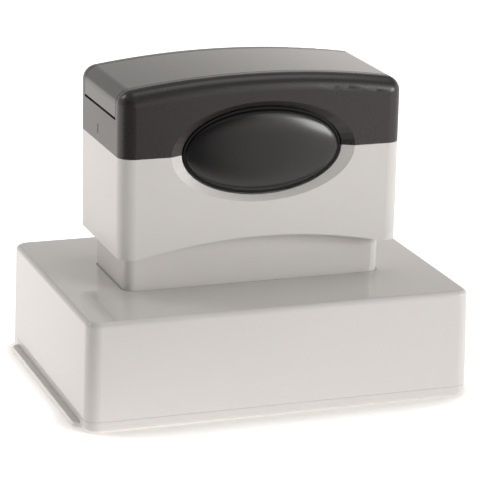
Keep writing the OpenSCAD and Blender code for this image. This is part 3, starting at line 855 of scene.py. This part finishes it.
class STAMP_OT_badge(StampOperator):
    """Model the badge: a plate with a flat matte bezel round a glossy dome that rolls over at its edge"""

    bl_idname = "stamp.badge"
    bl_label = "Badge"

    BEZEL_TONE = 1.5  # how much lighter the bezel is than the dome

    def execute(self, context):
        sizes = context.scene.stamp_sizes
        colour = context.scene.stamp_colours.badge
        bezel_colour = shade(colour, self.BEZEL_TONE)[:3]
        bezel = moulded_plastic("bezel_plastic", bezel_colour, gloss=0.5, reflect=0.15, cloud=0.08)
        self.bezel_plate(sizes, bezel)
        self.dome(sizes, badge_gloss("badge_gloss", colour))
        return {"FINISHED"}

    def bezel_plate(self, sizes, material):
        """The badge's plate, with a seat for the dome sunk into it."""
        low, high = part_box("badge_plate")
        dome_low, dome_high = self.dome_box(sizes)
        plate = self.oval(low, high, high.y, sizes.bezel_gap)
        seat_x = (dome_high.x - dome_low.x) / (high.x - low.x - 2 * sizes.bezel_gap)
        seat_z = (dome_high.z - dome_low.z) / (high.z - low.z - 2 * sizes.bezel_gap)
        with editing(plate):
            bpy.ops.mesh.select_all(action="SELECT")
            extrude((0, low.y - high.y, 0))
            self.ring((seat_x, 1.0, seat_z), 0.0, (low + high) / 2)
            extrude((0, dome_high.y - low.y, 0))
            face_outwards()
        modify(
            plate, "BEVEL", width=sizes.bezel_edge, segments=2, limit_method="ANGLE", angle_limit=math.radians(60))
        smooth(plate, angle=30)
        settle(plate, "badge_bezel", "cap", material, "badge_plate")

    def dome(self, sizes, material):
        """The badge's dome: rings that rise and close in on its middle."""
        low, high = self.dome_box(sizes)
        rim_y = high.y - sizes.dome_seat
        dome = self.oval(low, high, high.y, 0.0)
        turns = [math.pi / 2 * index / sizes.dome_rings for index in range(sizes.dome_rings)]
        rings = [(math.cos(turn), (1 - math.cos(turn) ** sizes.dome_power) ** 0.5) for turn in turns]
        with editing(dome):
            bpy.ops.mesh.select_all(action="SELECT")
            extrude((0, rim_y - high.y, 0))
            for (inner, inner_rise), (outer, outer_rise) in zip(rings[1:], rings):
                shrink = inner / outer
                self.ring(
                    (shrink, 1.0, shrink), sizes.dome_rise * (outer_rise - inner_rise), (low + high) / 2)
            bpy.ops.mesh.merge(type="CENTER")
            face_outwards()
        smooth(dome, angle=40)
        settle(dome, "badge_dome_gloss", "cap", material, "badge_dome")

    @staticmethod
    def dome_box(sizes):
        """Box of the badge's dome: the CAD dome's, grown round its outline."""
        low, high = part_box("badge_dome")
        over = Vector((sizes.dome_over, 0.0, sizes.dome_over))
        return low - over, high + over

    @staticmethod
    def oval(low, high, y, gap):
        """An oval face that fills a node's box seen from the front, less a gap."""
        deselect_all()
        bpy.ops.mesh.primitive_circle_add(
            vertices=192, radius=1.0, fill_type="NGON", rotation=(math.pi / 2, 0, 0))
        piece = bpy.context.object
        freeze()
        piece.scale = ((high.x - low.x) / 2 - gap, 1.0, (high.z - low.z) / 2 - gap)
        piece.location = ((low.x + high.x) / 2, y, (low.z + high.z) / 2)
        freeze()
        return piece

    @staticmethod
    def ring(shrink, distance, centre):
        """Extrudes the selected face along Y and draws it in towards the middle."""
        extrude((0, distance, 0))
        resize(shrink, centre)


class STAMP_OT_felt(StampOperator):
    """Model the ink pad as a block of pressed felt with soft edges and an uneven nap"""

    bl_idname = "stamp.felt"
    bl_label = "Ink pad"

    def execute(self, context):
        sizes = context.scene.stamp_sizes
        low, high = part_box("ink_pad")
        ease = Vector((sizes.felt_ease,) * 3)
        pad = block(low + ease, high - ease)
        round_uprights(pad, sizes.foam_corner_r)

        def on_outline(edge):
            """Edge between the side and the top or bottom."""
            return len({round(face.normal.z) for face in edge.link_faces}) > 1

        with editing(pad):
            bevel_edges(pad, on_outline, 2 * sizes.felt_ease, segments=3)
        modify(pad, "REMESH", mode="VOXEL", voxel_size=0.0012)
        modify(pad, "SMOOTH", factor=0.5, iterations=4)
        nap = bpy.data.textures.new("felt_nap", "CLOUDS")
        nap.noise_scale = 0.004
        modify(pad, "DISPLACE", texture=nap, texture_coords="LOCAL", strength=sizes.felt_nap, mid_level=0.8)
        smooth(pad, angle=60)
        settle(
            pad, "ink_pad_felt", "handle",
            inked_felt("inked_felt", context.scene.stamp_colours.felt), "ink_pad")
        return {"FINISHED"}


class STAMP_OT_foam_die(StampOperator):
    """Model the foam die: a flanged block whose face carries a border and four bars in relief"""

    bl_idname = "stamp.foam_die"
    bl_label = "Foam die"

    BAR_SHARES = (0.5, 0.7, 0.7, 0.35)  # lengths of the bars as shares of the die's length

    def execute(self, context):
        sizes = context.scene.stamp_sizes
        low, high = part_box("print_die")
        face_z = low.z + sizes.relief_h
        flange_z = high.z - sizes.foam_flange_t
        half = Vector((high.x - sizes.foam_flange, high.y - sizes.foam_flange))
        border_out = half - Vector((sizes.relief_inset,) * 2)
        border_in = border_out - Vector((sizes.relief_border,) * 2)
        rows = len(self.BAR_SHARES)
        bars = [
            (share * half.x, 2 * half.y * (0.5 - (index + 1) / (rows + 1)))
            for index, share in enumerate(self.BAR_SHARES)
        ]
        cuts = [
            (axis, side * limit[axis])
            for limit in (border_out, border_in) for axis in (0, 1) for side in (-1, 1)
        ]
        cuts += [(0, side * half_length) for half_length, _ in bars for side in (-1, 1)]
        cuts += [(1, middle + side * sizes.relief_bar / 2) for _, middle in bars for side in (-1, 1)]

        def faces_down(face):
            return face.normal.z < -ALONG_Z

        def on_face(face):
            """Part of the die's printing face."""
            return faces_down(face) and abs(face.calc_center_median().z - face_z) < SAME

        def raised(face):
            """Part of the printing face that the border or a bar takes up."""
            x, y, _ = face.calc_center_median()
            inside = abs(x) < border_out.x and abs(y) < border_out.y
            hollow = abs(x) < border_in.x and abs(y) < border_in.y
            on_bar = any(
                abs(x) < half_length and abs(y - middle) < sizes.relief_bar / 2 for half_length, middle in bars)
            return on_face(face) and ((inside and not hollow) or on_bar)

        die = block(Vector((low.x, low.y, flange_z)), high)
        with editing(die):
            pick(die, "FACE", faces_down)
            bpy.ops.mesh.inset(thickness=sizes.foam_flange)
            extrude((0, 0, face_z - flange_z))
        round_uprights(die, sizes.foam_corner_r)
        with editing(die):
            for axis, place in cuts:
                pick(die, "FACE", on_face)
                bpy.ops.mesh.bisect(
                    plane_co=(place, place, 0), plane_no=(1, 0, 0) if axis == 0 else (0, 1, 0))
            pick(die, "FACE", raised)
            extrude((0, 0, low.z - face_z))
        smooth(die, angle=30)
        settle(
            die, "print_die_foam", "handle",
            inked_foam("inked_foam", context.scene.stamp_colours.foam), "print_die")
        return {"FINISHED"}


class STAMP_OT_stage(StampOperator):
    """Set the white floor, the soft lamps, the horizon light and the camera"""

    bl_idname = "stamp.stage"
    bl_label = "Stage"

    def execute(self, context):
        stage = context.scene.stamp_stage
        deselect_all()
        bpy.ops.mesh.primitive_plane_add(size=stage.floor_size, location=(0, 0, 0))
        floor = bpy.context.object
        floor.name = "floor"
        floor.data.materials.append(floor_material())
        soft_lamp("right_lamp", azimuth=45, elevation=16, distance=1.0, width=0.48, height=0.34, radiance=7.0)
        soft_lamp("right_tail", azimuth=33, elevation=32, distance=1.2, width=0.5, height=0.4, radiance=1.1)
        soft_lamp("left_lamp", azimuth=-125, elevation=44, distance=1.0, width=0.3, height=0.3, radiance=4.2)
        soft_lamp("top_lamp", azimuth=95, elevation=74, distance=1.0, width=0.5, height=0.5, radiance=1.1)
        horizon_world(context.scene)
        camera_at(context.scene, stage)
        context.scene.view_settings.view_transform = "Standard"
        return {"FINISHED"}


class STAMP_PT_panel(bpy.types.Panel):
    """Steps and settings of the stamp"""

    bl_idname = "STAMP_PT_panel"
    bl_label = "Stamp"
    bl_space_type = "VIEW_3D"
    bl_region_type = "UI"
    bl_category = "Stamp"

    def draw(self, context):
        for step in STEPS:
            self.layout.operator(step.bl_idname)
        for group in SETTINGS:
            settings = getattr(context.scene, group)
            column = self.layout.column(heading=group)
            for name in settings.__annotations__:
                column.prop(settings, name)


SETTINGS = {"stamp_sizes": StampSizes, "stamp_colours": StampColours, "stamp_stage": StampStage}
STEPS = (
    STAMP_OT_shells, STAMP_OT_cap, STAMP_OT_inner_plastics, STAMP_OT_fasteners, STAMP_OT_springs, STAMP_OT_badge,
    STAMP_OT_felt, STAMP_OT_foam_die, STAMP_OT_stage,
)


def register():
    for kind in (*SETTINGS.values(), *STEPS, STAMP_PT_panel):
        bpy.utils.register_class(kind)
    for name, kind in SETTINGS.items():
        setattr(bpy.types.Scene, name, bpy.props.PointerProperty(type=kind))


def unregister():
    for name in SETTINGS:
        delattr(bpy.types.Scene, name)
    for kind in (STAMP_PT_panel, *reversed(STEPS), *SETTINGS.values()):
        bpy.utils.unregister_class(kind)


def main():
    register()
    deselect_all()
    bpy.ops.stamp.shells()
    bpy.ops.stamp.cap()
    bpy.ops.stamp.inner_plastics()
    bpy.ops.stamp.fasteners()
    bpy.ops.stamp.springs()
    bpy.ops.stamp.badge()
    bpy.ops.stamp.felt()
    bpy.ops.stamp.foam_die()
    bpy.ops.stamp.stage()
    deselect_all()


if __name__ == "__main__":
    main()
